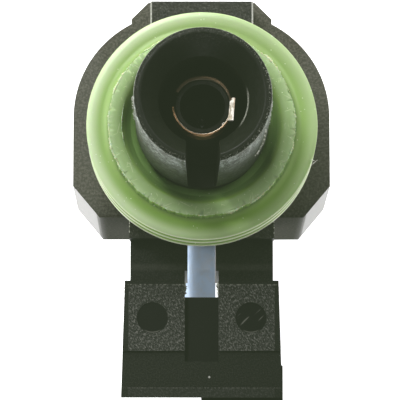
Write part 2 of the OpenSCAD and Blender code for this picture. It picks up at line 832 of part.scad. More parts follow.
// Armature: spring pocket behind, needle bore in front, cross drilling for fuel
module armature() {
    drill_r = 0.6;
    color([0.60, 0.61, 0.62])
        difference() {
            translate([0, 0, armature_z0])
                cylinder(r = armature_r, h = armature_l);
            translate([0, 0, armature_z0 - cut])
                cylinder(r = spring_pocket_r, h = spring_pocket_l + cut);
            translate([0, 0, armature_z0])
                cylinder(r = needle_bore_r, h = armature_l + cut);
            translate([0, 0, armature_z1 - needle_seat_l])
                cylinder(r = needle_d / 2 + mould_gap / 2, h = needle_seat_l + cut);
            translate([0, -chamber_d, armature_z0 + armature_l / 2])
                rotate([-90, 0, 0])
                    cylinder(r = drill_r, h = 2 * chamber_d);
        }
}

// Needle tube, cupped to the ball at its front end
module needle() {
    color([0.64, 0.64, 0.64])
        difference() {
            tube(needle_d / 2, needle_bore_r, armature_z1 - needle_seat_l + mould_gap, ball_z);
            translate([0, 0, ball_z])
                sphere(r = ball_r + mould_gap / 2);
        }
}

module valve_ball() {
    color([0.80, 0.80, 0.80])
        translate([0, 0, ball_z])
            sphere(r = ball_r);
}

// Point on the spring's centre line, u from 0 to 1
function spring_point(u) = [
    spring_r * cos(360 * spring_turns * u),
    spring_r * sin(360 * spring_turns * u),
    spring_z0 + spring_wire_d / 2 + (spring_l - spring_wire_d) * u
];

// Coil spring as one swept polyhedron with flat ends
module return_spring() {
    sides = 8;
    rings = ceil(18 * spring_turns);
    points = [
        for (i = [0:rings], k = [0:sides - 1])
            let (u = i / rings, t = 360 * spring_turns * u, a = 360 * k / sides)
                spring_point(u) + spring_wire_d / 2 * [cos(a) * cos(t), cos(a) * sin(t), sin(a)]
    ];
    walls = [
        for (i = [0:rings - 1], k = [0:sides - 1])
            let (n = (k + 1) % sides)
                [i * sides + k, i * sides + n, (i + 1) * sides + n, (i + 1) * sides + k]
    ];
    start_cap = [for (k = [sides - 1:-1:0]) k];
    end_cap = [for (k = [0:sides - 1]) rings * sides + k];
    color([0.70, 0.71, 0.73])
        polyhedron(points = points, faces = concat(walls, [start_cap], [end_cap]), convexity = 10);
}

nose_sleeve();
split_ring();
lower_seal();
front_collar();
housing();
connector_shroud();
terminal_left();
terminal_right();
rail_clip();
inlet_tube();
inlet_o_ring();
backing_ring();
filter_ring();
filter_basket();
filter_mesh();
adjusting_sleeve();
magnet_shell();
flux_washer();
coil_bobbin();
coil_winding();
coil_seal_rear();
coil_seal_front();
spacer_ring();
valve_body();
valve_seat();
orifice_plate();
armature();
needle();
valve_ball();
return_spring();
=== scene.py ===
"""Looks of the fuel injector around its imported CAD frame, seen from the nozzle end."""
import json
import math
import random

import bmesh
import bpy
from mathutils import Matrix, Vector, noise


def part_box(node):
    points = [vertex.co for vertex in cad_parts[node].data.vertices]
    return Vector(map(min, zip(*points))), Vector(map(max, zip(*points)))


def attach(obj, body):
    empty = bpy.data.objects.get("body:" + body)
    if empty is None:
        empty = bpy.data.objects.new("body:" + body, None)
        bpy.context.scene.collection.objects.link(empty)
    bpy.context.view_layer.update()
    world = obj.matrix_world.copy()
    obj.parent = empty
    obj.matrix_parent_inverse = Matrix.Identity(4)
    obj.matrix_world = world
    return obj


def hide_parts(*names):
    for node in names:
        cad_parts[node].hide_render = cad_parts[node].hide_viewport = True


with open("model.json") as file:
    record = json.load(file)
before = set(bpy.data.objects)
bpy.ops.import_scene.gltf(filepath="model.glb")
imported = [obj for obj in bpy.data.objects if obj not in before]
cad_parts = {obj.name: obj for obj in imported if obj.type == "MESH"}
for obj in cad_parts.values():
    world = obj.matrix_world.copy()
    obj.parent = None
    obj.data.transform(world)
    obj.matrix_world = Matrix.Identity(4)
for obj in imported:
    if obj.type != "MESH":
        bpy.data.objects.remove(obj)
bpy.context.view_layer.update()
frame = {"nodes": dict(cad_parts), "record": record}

nodes = frame["nodes"]
mounts = {m["name"]: m for m in frame["record"]["mounts"]}
MM = 0.001
FIXED = "injector_body"
CLIP = "clip"
chance = random.Random(11)


# ---------------------------------------------------------------- measures, in millimetres
def box_mm(node):
    """Lowest and highest corner of a CAD node, in millimetres."""
    low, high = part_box(node)
    return low / MM, high / MM


sleeve_lo, sleeve_hi = box_mm("nose_sleeve")
seal_lo, seal_hi = box_mm("lower_seal")
collar_lo, collar_hi = box_mm("front_collar")
shroud_lo, shroud_hi = box_mm("connector_shroud")
clip_lo, clip_hi = box_mm("rail_clip")
ring_lo, ring_hi = box_mm("split_ring")
housing_lo, _ = box_mm("housing")

NOSE_R = mounts["nozzle_nose"]["dims"]["r_mm"]
SEAL_R = mounts["lower_seal_bore"]["dims"]["r_mm"]
TIP_Z = sleeve_hi.z
SLEEVE_ROOT_R = 6.1
LIP_H = 1.2
LIP_R = 8.8
LIP_BORE_R = 7.15
SEAL_FACE_Z = seal_hi.z - LIP_H
GROOVE = 0.35
LIP_ROUGHNESS = ((3, 0.09), (9, 0.11), (19, 0.09))


# ---------------------------------------------------------------- mesh tools
def make_object(name, verts, faces):
    """A smooth-shaded mesh object from vertices in millimetres."""
    mesh = bpy.data.meshes.new(name)
    mesh.from_pydata([Vector(v) * MM for v in verts], [], faces)
    tidy = bmesh.new()
    tidy.from_mesh(mesh)
    bmesh.ops.recalc_face_normals(tidy, faces=tidy.faces)
    tidy.to_mesh(mesh)
    tidy.free()
    mesh.shade_smooth()
    obj = bpy.data.objects.new(name, mesh)
    bpy.context.scene.collection.objects.link(obj)
    return obj


def fillet(points, radii, steps=5):
    """A closed outline with its corners rounded to the given radii."""
    out = []
    count = len(points)
    for i, (point, radius) in enumerate(zip(points, radii)):
        here = Vector(point)
        before = (Vector(points[i - 1]) - here).normalized()
        after = (Vector(points[(i + 1) % count]) - here).normalized()
        half = before.angle(after) / 2
        if radius <= 0 or half > math.radians(88):
            out.append(here)
            continue
        reach = radius / math.tan(half)
        centre = here + (before + after).normalized() * radius / math.sin(half)
        start = here + before * reach - centre
        end = here + after * reach - centre
        for k in range(steps + 1):
            arm = start.lerp(end, k / steps).normalized() * radius
            out.append(centre + arm)
    return out


def lathe(name, outline, segments=192, wobble=None):
    """A closed (r, z) outline turned about the axis. wobble(index, turn) moves a point by (dr, dz)."""
    verts, faces = [], []
    count = len(outline)
    for j in range(segments):
        turn = 2 * math.pi * j / segments
        for i, (r, z) in enumerate(outline):
            if wobble:
                dr, dz = wobble(i, turn)
                r, z = r + dr, z + dz
            verts.append((r * math.cos(turn), r * math.sin(turn), z))
    for j in range(segments):
        k = (j + 1) % segments
        for i in range(count):
            n = (i + 1) % count
            faces.append((j * count + i, j * count + n, k * count + n, k * count + i))
    return make_object(name, verts, faces)


def prism(name, outline, z0, z1):
    """A closed (x, y) outline extruded from z0 to z1."""
    count = len(outline)
    verts = [(x, y, z) for z in (z0, z1) for x, y in outline]
    faces = [tuple(reversed(range(count))), tuple(range(count, 2 * count))]
    faces += [(i, (i + 1) % count, count + (i + 1) % count, count + i) for i in range(count)]
    return make_object(name, verts, faces)


def bake_modifiers(obj):
    """Turns an object's modifiers into its mesh."""
    shape = obj.evaluated_get(bpy.context.evaluated_depsgraph_get())
    mesh = bpy.data.meshes.new_from_object(shape)
    obj.modifiers.clear()
    obj.data = mesh


def carve(obj, *cutters):
    """Cuts solids out of an object and removes the cutters."""
    for cutter in cutters:
        cut = obj.modifiers.new("cut", "BOOLEAN")
        cut.operation, cut.solver, cut.object = "DIFFERENCE", "EXACT", cutter
    bake_modifiers(obj)
    for cutter in cutters:
        bpy.data.objects.remove(cutter)


def soften(obj, width, segments=3, angle=30, merge_flats=True, clamp=True):
    """Rounds an object's sharp edges by width, in millimetres."""
    if merge_flats:
        flats = obj.modifiers.new("merge_flats", "DECIMATE")
        flats.decimate_type, flats.angle_limit = "DISSOLVE", math.radians(1)
    edge = obj.modifiers.new("edges", "BEVEL")
    edge.width, edge.segments = width * MM, segments
    edge.limit_method, edge.angle_limit = "ANGLE", math.radians(angle)
    edge.use_clamp_overlap = clamp
    edge.harden_normals = True
    normals = obj.modifiers.new("normals", "WEIGHTED_NORMAL")
    normals.keep_sharp = True


def ragged_fin(name, path, outward, height, thickness, roughness):
    """A thin fin of moulding flash: a path with a ragged crest that stands off along outward."""
    verts, faces = [], []
    for i, point in enumerate(path):
        base, out = Vector(point), Vector(outward[i]).normalized()
        along = (Vector(path[min(i + 1, len(path) - 1)]) - Vector(path[max(i - 1, 0)])).normalized()
        side = along.cross(out).normalized() * thickness / 2
        fade = min(1, i / 3, (len(path) - 1 - i) / 3)
        crest = height * fade * (1 - roughness * chance.random())
        foot = base - out * thickness
        tip = base + out * max(crest, thickness * 0.2)
        verts += [foot - side, foot + side, tip + side * 0.4, tip - side * 0.4]
    for i in range(len(path) - 1):
        a, b = 4 * i, 4 * i + 4
        faces += [(a + k, a + (k + 1) % 4, b + (k + 1) % 4, b + k) for k in range(4)]
    last = 4 * (len(path) - 1)
    faces += [(3, 2, 1, 0), (last, last + 1, last + 2, last + 3)]
    obj = make_object(name, verts, faces)
    obj.data.shade_flat()
    return obj


def line(start, end, count):
    """Evenly spaced points from start to end."""
    return [Vector(start).lerp(Vector(end), i / (count - 1)) for i in range(count)]


# ---------------------------------------------------------------- material tools
class Finish:
    """A Principled material and short calls for the textures that drive it."""

    def __init__(self, name, colour, roughness, **sockets):
        self.material = bpy.data.materials.new(name)
        self.material.use_nodes = True
        self.tree = self.material.node_tree
        self.bsdf = self.tree.nodes["Principled BSDF"]
        self.bsdf.inputs["Base Color"].default_value = (*colour, 1)
        self.bsdf.inputs["Roughness"].default_value = roughness
        for socket, value in sockets.items():
            self.bsdf.inputs[socket.replace("_", " ")].default_value = value
        self.place = self.add("ShaderNodeTexCoord").outputs["Object"]

    def add(self, kind, **settings):
        node = self.tree.nodes.new(kind)
        for key, value in settings.items():
            setattr(node, key, value)
        return node

    def join(self, source, target):
        self.tree.links.new(source, target)

    def stretched(self, scale, turn=(0, 0, 0)):
        """Object coordinates turned and then stretched, for scratches and brushed lines."""
        mapping = self.add("ShaderNodeMapping", vector_type="TEXTURE")
        mapping.inputs["Scale"].default_value = scale
        mapping.inputs["Rotation"].default_value = turn
        self.join(self.place, mapping.inputs["Vector"])
        return mapping.outputs["Vector"]

    def noise(self, per_mm, detail=4.0, rough=0.55, place=None):
        node = self.add("ShaderNodeTexNoise")
        node.inputs["Scale"].default_value = per_mm / MM
        node.inputs["Detail"].default_value = detail
        node.inputs["Roughness"].default_value = rough
        self.join(place or self.place, node.inputs["Vector"])
        return node.outputs["Fac"]

    def cells(self, per_mm, feature="F1", output="Distance"):
        node = self.add("ShaderNodeTexVoronoi", feature=feature)
        node.inputs["Scale"].default_value = per_mm / MM
        self.join(self.place, node.inputs["Vector"])
        return node.outputs[output]

    def ramp(self, fac, low, high, start=0.0, end=1.0):
        """fac between low and high mapped to start to end, and held outside."""
        node = self.add("ShaderNodeMapRange", interpolation_type="SMOOTHSTEP")
        for socket, value in zip(("From Min", "From Max", "To Min", "To Max"), (low, high, start, end)):
            node.inputs[socket].default_value = value
        self.join(fac, node.inputs["Value"])
        return node.outputs["Result"]

    def math(self, operation, a, b=None):
        node = self.add("ShaderNodeMath", operation=operation)
        for socket, value in zip(node.inputs, (a, b)):
            if value is None:
                continue
            if isinstance(value, (int, float)):
                socket.default_value = value
            else:
                self.join(value, socket)
        return node.outputs[0]

    def mix(self, fac, a, b):
        """Colour a where fac is 0 and b where it is 1. Each is a socket or an (r, g, b)."""
        node = self.add("ShaderNodeMix", data_type="RGBA")
        self.join(fac, node.inputs["Factor"])
        for socket, value in ((node.inputs[6], a), (node.inputs[7], b)):
            if isinstance(value, tuple):
                socket.default_value = (*value, 1)
            else:
                self.join(value, socket)
        return node.outputs[2]

    def split(self):
        """x, y and z of the place, in metres."""
        node = self.add("ShaderNodeSeparateXYZ")
        self.join(self.place, node.inputs[0])
        return node.outputs

    def radius(self):
        """Distance from the injector's axis, in metres."""
        x, y, _ = self.split()
        return self.math("SQRT", self.math("ADD", self.math("MULTIPLY", x, x), self.math("MULTIPLY", y, y)))

    def colour(self, socket):
        self.join(socket, self.bsdf.inputs["Base Color"])

    def roughness(self, socket):
        self.join(socket, self.bsdf.inputs["Roughness"])

    def bump(self, height, depth, strength=1.0):
        """Bumps that stand depth millimetres high."""
        node = self.add("ShaderNodeBump")
        node.inputs["Strength"].default_value = strength
        node.inputs["Distance"].default_value = depth * MM
        self.join(height, node.inputs["Height"])
        self.join(node.outputs["Normal"], self.bsdf.inputs["Normal"])

    def scratches(self, per_mm, stretch, turns, cut):
        """Fine straight scratches in several directions, 0 to 1."""
        total = None
        for turn in turns:
            place = self.stretched((stretch, 1, 1), (0, 0, math.radians(turn)))
            hit = self.ramp(self.noise(per_mm, detail=1.0, place=place), cut, cut + 0.04)
            total = hit if total is None else self.math("MAXIMUM", total, hit)
        return total


# ---------------------------------------------------------------- materials
def satin_plastic(name, dark, light, grain, depth, roughness=0.42):
    """Black moulded plastic: faint mottling and a fine even grain."""
    f = Finish(name, dark, roughness, Specular_IOR_Level=0.5)
    f.colour(f.mix(f.noise(0.35, 3), dark, light))
    f.roughness(f.ramp(f.noise(1.1, 5), 0.3, 0.7, roughness - 0.05, roughness + 0.08))
    f.bump(f.noise(grain, 3, 0.6), depth)
    return f.material


def housing_plastic():
    """Black moulded plastic: speckled, with painted shade that darkens it towards the socket, glossier at the
    sides and lower corners.
    """
    f = Finish("housing_plastic_look", (0.024, 0.025, 0.018), 0.4, Specular_IOR_Level=0.2,
               Coat_Roughness=0.32)
    x, y, _ = f.split()
    grain = f.ramp(f.noise(4.0, 4, 0.75), 0.4, 0.66)
    low = f.mix(grain, (0.008, 0.008, 0.006), (0.018, 0.018, 0.013))
    high = f.mix(grain, (0.040, 0.039, 0.028), (0.105, 0.102, 0.080))
    # painted shade: the speckled colour turns near black towards the socket, on the wall that faces it
    f.colour(f.mix(f.ramp(y, -10 * MM, -5 * MM), low, high))
    f.join(f.ramp(f.math("ABSOLUTE", x), 9.3 * MM, 10.5 * MM, 0.0, 0.45), f.bsdf.inputs["Coat Weight"])
    wall = f.ramp(y, (housing_lo.y + 0.1) * MM, (housing_lo.y + 0.5) * MM, 1.0, 0.0)
    beyond = f.ramp(f.math("ABSOLUTE", x), 10.2 * MM, 11.2 * MM, 1.0, 0.0)
    f.roughness(f.ramp(f.math("MULTIPLY", wall, beyond), 0, 1, 0.34, 1.0))
    f.bump(f.noise(1.2, 3, 0.6), 0.01)
    return f.material


def nose_plastic():
    """Nose sleeve: satin black with scuffed sides and painted highlights: speckled glints on the rim,
    strongest towards +X and -Y, a bright arc on the bore's edge and faint light on the +Y wall of the mouth.
    """
    dark = (0.003, 0.004, 0.002)
    f = Finish("nose_plastic_look", dark, 0.4, Specular_IOR_Level=0.14)
    radius = f.radius()
    x, y, z = f.split()
    # painted highlights on the rim: pale speckled glints, stronger towards the lit +X and -Y side, and a
    # dotted pale line along the rim's edge
    near_rim = f.math("MULTIPLY", f.ramp(radius, (NOSE_R - 0.50) * MM, (NOSE_R - 0.18) * MM),
                      f.ramp(z, (TIP_Z - 0.7) * MM, (TIP_Z - 0.1) * MM))
    toward = f.math("SUBTRACT", f.math("MULTIPLY", x, 0.8), f.math("MULTIPLY", y, 0.6))
    lit_side_bias = f.ramp(toward, -5 * MM, 6 * MM, 0.25, 1.0)
    specks = f.ramp(f.noise(7.5, 3, 0.8), 0.56, 0.66)
    from_edge = f.math("ABSOLUTE", f.math("SUBTRACT", z, (TIP_Z - 0.42) * MM))
    edge = f.math("MULTIPLY", f.ramp(from_edge, 0.06 * MM, 0.20 * MM, 1.0, 0.0),
                  f.ramp(f.noise(5.0, 3, 0.7), 0.40, 0.54))
    rim = f.math("MULTIPLY", near_rim, f.math("MAXIMUM", f.math("MULTIPLY", specks, lit_side_bias), edge))
    side = f.math("MULTIPLY", f.ramp(radius, (NOSE_R - 0.12) * MM, (NOSE_R - 0.02) * MM),
                  f.ramp(z, (TIP_Z - 9.0) * MM, (TIP_Z - 0.8) * MM, 0.08, 1.0))
    side = f.math("MULTIPLY", side, f.ramp(y, -2.5 * MM, 3 * MM, 1.0, 0.2))
    # painted highlight: a thin bright arc on the bore's edge, on the +X side
    from_bore = f.math("ABSOLUTE", f.math("SUBTRACT", radius, (BORE_R + 0.1) * MM))
    bore_and_mouth_highlight = f.math("MULTIPLY", f.ramp(from_bore, 0.03 * MM, 0.09 * MM, 1.0, 0.0),
                       f.ramp(x, 3.2 * MM, 3.8 * MM))
    deep = f.ramp(z, (TIP_Z - MOUTH_L - 0.3) * MM, (TIP_Z - MOUTH_L - 0.2) * MM)
    bore_and_mouth_highlight = f.math("MULTIPLY", f.math("MULTIPLY", bore_and_mouth_highlight, deep),
                       f.ramp(y, 0.3 * MM, 1.3 * MM, 1.0, 0.0))
    scuffs = f.ramp(f.noise(1.3, 7, 0.8, place=f.stretched((1, 1, 2.5))), 0.44, 0.66)
    fine = f.ramp(f.noise(5.5, 2, 0.7, place=f.stretched((1, 1, 5), (0.5, 0.3, 0))), 0.58, 0.66)
    marks = f.math("MULTIPLY", side, f.math("MAXIMUM", f.math("MULTIPLY", scuffs, 0.5), fine))
    # painted light: a faint pale patch on the +Y wall of the mouth
    mouth_top_light = f.math("MULTIPLY", f.ramp(f.noise(4.5, 4, 0.75), 0.5, 0.66),
                   f.ramp(y, 4.4 * MM, 5.4 * MM, 0.0, 0.07))
    bore_and_mouth_highlight = f.math("MAXIMUM", f.math("MULTIPLY", bore_and_mouth_highlight, 0.5), mouth_top_light)
    tone = f.mix(f.noise(0.5, 3), dark, (0.007, 0.008, 0.005))
    # the painted highlights of the rim, the bore's edge and the mouth take a pale grey
    tone = f.mix(f.math("MAXIMUM", rim, bore_and_mouth_highlight), tone, (0.42, 0.43, 0.36))
    f.colour(f.mix(marks, tone, (0.50, 0.57, 0.52)))
    f.roughness(f.math("MAXIMUM", f.ramp(f.noise(2.2, 5), 0.3, 0.7, 0.34, 0.5), near_rim))
    f.bump(f.noise(5.0, 4, 0.65), 0.014)
    return f.material


def grained_plastic(name, top_z, base, glint, area=None, ridge_y=None, marks=None, pale_edge_x=None):
    """Black plastic: spark-eroded grain with glints on the faces at top_z, smooth elsewhere.

    In millimetres, area is (half width, front y, rim y) of the grained field, ridge_y the middle of a faint
    pale band on the smooth faces, and marks (x, y, radius) of the pair of smooth discs. The last argument is
    the distance from the middle of the pale lines along the key's side edges.
    """
    f = Finish(name, base, 0.45, Specular_IOR_Level=0.16)
    x, y, z = f.split()
    face = f.ramp(z, (top_z - 0.06) * MM, (top_z - 0.02) * MM)
    glints = f.ramp(f.noise(5.6, 6, 0.85, place=f.stretched((0.8, 1.5, 1), (0, 0, 0.5))), 0.49, 0.63)
    edge_highlight = None
    if area:
        half, front, rim = area
        reach = f.math("ABSOLUTE", x)
        inside = f.math("MULTIPLY", f.ramp(reach, (half - 0.06) * MM, half * MM, 1.0, 0.0),
                        f.ramp(y, (front - 0.06) * MM, front * MM, 1.0, 0.0))
        # painted highlights: pale dashes along the front border of the grained field and along the rim's step
        border = f.ramp(f.math("ABSOLUTE", f.math("SUBTRACT", y, front * MM)), 0.02 * MM, 0.09 * MM, 1.0, 0.0)
        step = f.ramp(f.math("ABSOLUTE", f.math("SUBTRACT", y, rim * MM)), 0.03 * MM, 0.10 * MM, 1.0, 0.0)
        in_rim = f.ramp(y, (rim - 0.12) * MM, (rim - 0.04) * MM, 1.0, 0.0)
        dashes = f.math("MULTIPLY", f.math("MAXIMUM", border, step), f.ramp(f.noise(4.5, 3, 0.7), 0.44, 0.62))
        edge_highlight = f.math("MULTIPLY", f.math("MULTIPLY", dashes, face), 0.6)
        amount = f.math("MULTIPLY", inside, f.math("SUBTRACT", 1.0, f.math("MULTIPLY", in_rim, 0.55)))
        glints = f.math("MULTIPLY", glints, amount)
        texture = f.math("MULTIPLY", face, amount)
    else:
        texture = face
    smooth = f.mix(f.ramp(f.noise(8.0, 3, 0.8), 0.42, 0.66), (0.001, 0.002, 0.001), (0.020, 0.021, 0.016))
    # painted shade: faces lying well below the top face are darker
    smooth = f.mix(f.ramp(z, (top_z - 0.9) * MM, (top_z - 0.5) * MM, 0.8, 0.0), smooth, (0.001, 0.001, 0.001))
    if ridge_y:
        ridge = f.ramp(f.math("ABSOLUTE", f.math("SUBTRACT", y, ridge_y * MM)), 0.1 * MM, 0.5 * MM, 0.35, 0.0)
        smooth = f.mix(f.math("MULTIPLY", ridge, f.noise(1.2, 4)), smooth, (0.09, 0.09, 0.075))
    if marks:
        side, back, disc_r = marks
        off = f.math("SUBTRACT", f.math("ABSOLUTE", x), side * MM)
        down = f.math("SUBTRACT", y, back * MM)
        away = f.math("SQRT", f.math("ADD", f.math("MULTIPLY", off, off), f.math("MULTIPLY", down, down)))
        from_ring = f.math("ABSOLUTE", f.math("SUBTRACT", away, (disc_r - 0.12) * MM))
        ring = f.ramp(from_ring, 0.02 * MM, 0.07 * MM, 1.0, 0.0)
        # a painted highlight on the lower part of each disc's rim, and pale score lines in the right disc
        disc_rim_highlight_and_scores = f.math("MULTIPLY", ring, f.ramp(down, -1.35 * MM, -1.1 * MM, 0.4, 0.0))
        scores = f.ramp(f.noise(3.6, 1, place=f.stretched((9, 1, 1), (0, 0, 0.75))), 0.66, 0.72)
        within = f.math("MULTIPLY", f.ramp(away, 0.9 * MM, 1.4 * MM, 0.5, 0.0), f.ramp(x, 0, 1 * MM))
        disc_rim_highlight_and_scores = f.math("MAXIMUM", disc_rim_highlight_and_scores, f.math("MULTIPLY", scores, within))
        smooth = f.mix(f.ramp(away, (disc_r - 0.1) * MM, disc_r * MM, 0.9, 0.0), smooth, (0.0, 0.0, 0.0))
        smooth = f.mix(disc_rim_highlight_and_scores, smooth, (0.20, 0.20, 0.17))
        speck_x, speck_y = 0.72, -23.4
        speck = f.math("ADD", f.math("ABSOLUTE", f.math("SUBTRACT", x, speck_x * MM)),
                       f.math("ABSOLUTE", f.math("SUBTRACT", y, speck_y * MM)))
        smooth = f.mix(f.ramp(speck, 0.08 * MM, 0.16 * MM, 0.8, 0.0), smooth, (0.5, 0.5, 0.45))
        disc = f.ramp(away, (disc_r - 0.03) * MM, (disc_r + 0.01) * MM)
        texture = f.math("MULTIPLY", texture, disc)
    coarse = f.mix(f.math("MULTIPLY", face, glints), base, glint)
    tone = f.mix(texture, smooth, coarse)
    if edge_highlight:
        tone = f.mix(edge_highlight, tone, (0.26, 0.26, 0.22))
    if pale_edge_x:
        # pale lines along the key's side edges, on their upper part
        from_pale_edge = f.math("ABSOLUTE", f.math("SUBTRACT", f.math("ABSOLUTE", x), pale_edge_x * MM))
        pale_edge = f.ramp(from_pale_edge, 0.03 * MM, 0.12 * MM, 0.8, 0.0)
        tone = f.mix(f.math("MULTIPLY", pale_edge, f.ramp(y, 10 * MM, 11 * MM)), tone, (0.42, 0.42, 0.38))
    f.colour(tone)
    f.roughness(f.ramp(texture, 0, 1, 0.38, 0.5))
    grain = f.math("ADD", f.math("MULTIPLY", f.cells(3.6), 0.6),
                   f.math("MULTIPLY", f.noise(5.5, 4, 0.7), 0.7))
    f.bump(f.math("MULTIPLY", grain, f.ramp(texture, 0, 1, 0.12, 1.0)), 0.07)
    return f.material


def seal_rubber():
    """Soft green rubber with painted light and shade: a paler outer rim lit from -X, pale highlights on the
    rib crests, shade in the grooves and inside the lip, a greyer top; and a scratched, slightly paler lip.
    """
    f = Finish("seal_rubber_look", (0.24, 0.38, 0.12), 0.45, Subsurface_Weight=0.3, Subsurface_Scale=MM,
               Subsurface_Radius=(0.7, 1.1, 0.4), Specular_IOR_Level=0.4)
    radius = f.radius()
    x, y, z = f.split()
    in_lip = f.math("SUBTRACT", 1.0, f.ramp(radius, (LIP_R + 0.05) * MM, (LIP_R + 0.35) * MM))
    lip_face = f.math("MULTIPLY", in_lip, f.ramp(z, (seal_hi.z - 0.4) * MM, (seal_hi.z - 0.1) * MM))
    # painted shade: darker low down inside the lip, in the moat and at the lip's foot
    depth = f.math("MULTIPLY", in_lip, f.ramp(z, SEAL_FACE_Z * MM, (seal_hi.z - 0.1) * MM, 1.0, 0.0))
    crest = f.ramp(radius, (SEAL_R - 0.12) * MM, (SEAL_R - 0.03) * MM)
    # painted shade in the grooves between the ribs
    groove_shade = f.math("MULTIPLY", f.ramp(radius, (SEAL_R - 0.30) * MM, (SEAL_R - 0.16) * MM, 0.85, 0.0),
                    f.ramp(z, (SEAL_FACE_Z - 0.25) * MM, (SEAL_FACE_Z - 0.15) * MM, 1.0, 0.0))
    # painted light: paler towards the outer rim, more so on the lit -X side
    rim = f.math("MULTIPLY", f.ramp(radius, 9.6 * MM, 10.7 * MM, 0.0, 0.45),
                 f.ramp(z, (SEAL_FACE_Z - 0.5) * MM, (SEAL_FACE_Z - 0.1) * MM))
    rim = f.math("MULTIPLY", rim, f.ramp(x, -8 * MM, 6 * MM, 1.5, 0.7))
    scratches = f.scratches(7.0, 12, (20, 75, 104, 150), 0.71)
    body = f.mix(f.noise(0.25, 3), (0.215, 0.345, 0.085), (0.250, 0.385, 0.110))
    # painted light: greyer towards +Y, where a sheen falls, and more saturated towards -Y, where none does
    body = f.mix(f.ramp(y, 2 * MM, 9.5 * MM), body, (0.205, 0.305, 0.094))
    body = f.mix(f.ramp(y, -9.5 * MM, -3 * MM, 1.0, 0.0), body, (0.200, 0.350, 0.058))
    lip_tone = f.mix(f.noise(1.4, 5, 0.7), (0.21, 0.32, 0.11), (0.26, 0.37, 0.16))
    torn = f.math("MULTIPLY", f.ramp(radius, (LIP_R - 0.55) * MM, (LIP_R - 0.05) * MM), 0.4)
    lip_tone = f.mix(torn, lip_tone, (0.38, 0.48, 0.28))
    lip_tone = f.mix(f.math("MULTIPLY", scratches, 0.5), lip_tone, (0.52, 0.60, 0.38))
    # painted highlights on the rib crests and the pale rim band
    body = f.mix(crest, f.mix(rim, body, (0.56, 0.64, 0.44)), (0.40, 0.50, 0.26))
    body = f.mix(groove_shade, body, (0.07, 0.12, 0.03))
    # painted highlights: the rib crests paler still on the -Y side
    lower_crest_highlight = f.math("MULTIPLY", crest, f.ramp(y, -6 * MM, -2 * MM, 0.5, 0.0))
    body = f.mix(lower_crest_highlight, body, (0.8, 0.86, 0.64))
    # the painted shade inside the lip takes a dark green
    tone = f.mix(depth, f.mix(lip_face, body, lip_tone), (0.13, 0.235, 0.06))
    specks = f.math("SUBTRACT", 1.0, f.ramp(f.cells(1.7), 0.05, 0.08))
    f.colour(f.mix(specks, tone, (0.70, 0.76, 0.58)))
    f.roughness(f.ramp(lip_face, 0, 1, 0.42, 0.62))
    f.bump(f.noise(3.0, 4, 0.6), 0.012)
    return f.material


def metal(name, colour, roughness, brushed=0.0, tarnish=None, metallic=1.0):
    """Metal with fine brushed lines round the axis and optional tarnish."""
    f = Finish(name, colour, roughness, Metallic=metallic)
    lines = f.noise(6.0, 3, 0.6, place=f.stretched((6, 6, 1)))
    if tarnish:
        f.colour(f.mix(f.ramp(f.noise(0.9, 5, 0.65), 0.42, 0.68), colour, tarnish))
    f.roughness(f.ramp(f.noise(1.3, 5), 0.3, 0.7, roughness - 0.06, roughness + 0.12))
    f.bump(lines, 0.004 + brushed)
    return f.material


def rubber(name, colour, roughness=0.55):
    """Matt rubber with a faint bloom."""
    f = Finish(name, colour, roughness)
    bloom = tuple(min(1, c * 1.8 + 0.01) for c in colour)
    f.colour(f.mix(f.ramp(f.noise(0.8, 5, 0.65), 0.45, 0.75), colour, bloom))
    f.bump(f.noise(4.0, 3), 0.01)
    return f.material


def pale_plastic(name, colour):
    """Natural nylon, slightly see-through."""
    f = Finish(name, colour, 0.45, Subsurface_Weight=0.25, Subsurface_Scale=MM)
    f.colour(f.mix(f.noise(0.5, 4), colour, tuple(c * 0.86 for c in colour)))
    f.bump(f.noise(3.0, 3), 0.008)
    return f.material


def winding_copper():
    """Enamelled wire: fine turns stacked along the axis."""
    f = Finish("winding_look", (0.60, 0.22, 0.08), 0.3, Metallic=0.9, Coat_Weight=0.5)
    wave = f.add("ShaderNodeTexWave", bands_direction="Z")
    wave.inputs["Scale"].default_value = 0.95 / MM
    f.join(f.place, wave.inputs["Vector"])
    f.colour(f.mix(wave.outputs["Fac"], (0.30, 0.09, 0.03), (0.66, 0.26, 0.10)))
    f.bump(wave.outputs["Fac"], 0.06)
    return f.material


def gauze_look():
    """Woven nylon gauze."""
    f = Finish("gauze_look", (0.78, 0.76, 0.70), 0.6)
    grid = f.cells(5.0, "DISTANCE_TO_EDGE")
    f.colour(f.mix(f.ramp(grid, 0.02, 0.2), (0.85, 0.84, 0.78), (0.45, 0.43, 0.38)))
    f.bump(grid, 0.03)
    return f.material


def paint(node, material):
    """Gives a carried CAD node its material."""
    for slot in nodes[node].material_slots:
        slot.material = material


def dress(obj, material, slot, *replaced):
    """Gives a new piece its material and its body, which the slot name picks."""
    obj.data.materials.clear()
    obj.data.materials.append(material)
    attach(obj, CLIP if slot == "clip_steel" else FIXED)
    if replaced:
        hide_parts(*replaced)


# ---------------------------------------------------------------- lower seal
def seal_rim(steps=60, ribs=3, half_height=0.46, end_height=0.2):
    """The outer wall of the seal from bottom to top: three rounded ribs with grooves between."""
    core = SEAL_R - GROOVE
    first, last = seal_lo.z + end_height, SEAL_FACE_Z - end_height
    crests = [first + (last - first) * k / (ribs - 1) for k in range(ribs)]
    wall = []
    for i in range(steps + 1):
        z = seal_lo.z + (SEAL_FACE_Z - seal_lo.z) * i / steps
        reach = min(abs(z - crest) for crest in crests) / half_height
        wall.append((core + GROOVE * max(0.0, 1 - reach ** 2.4) ** 0.5, z))
    return wall


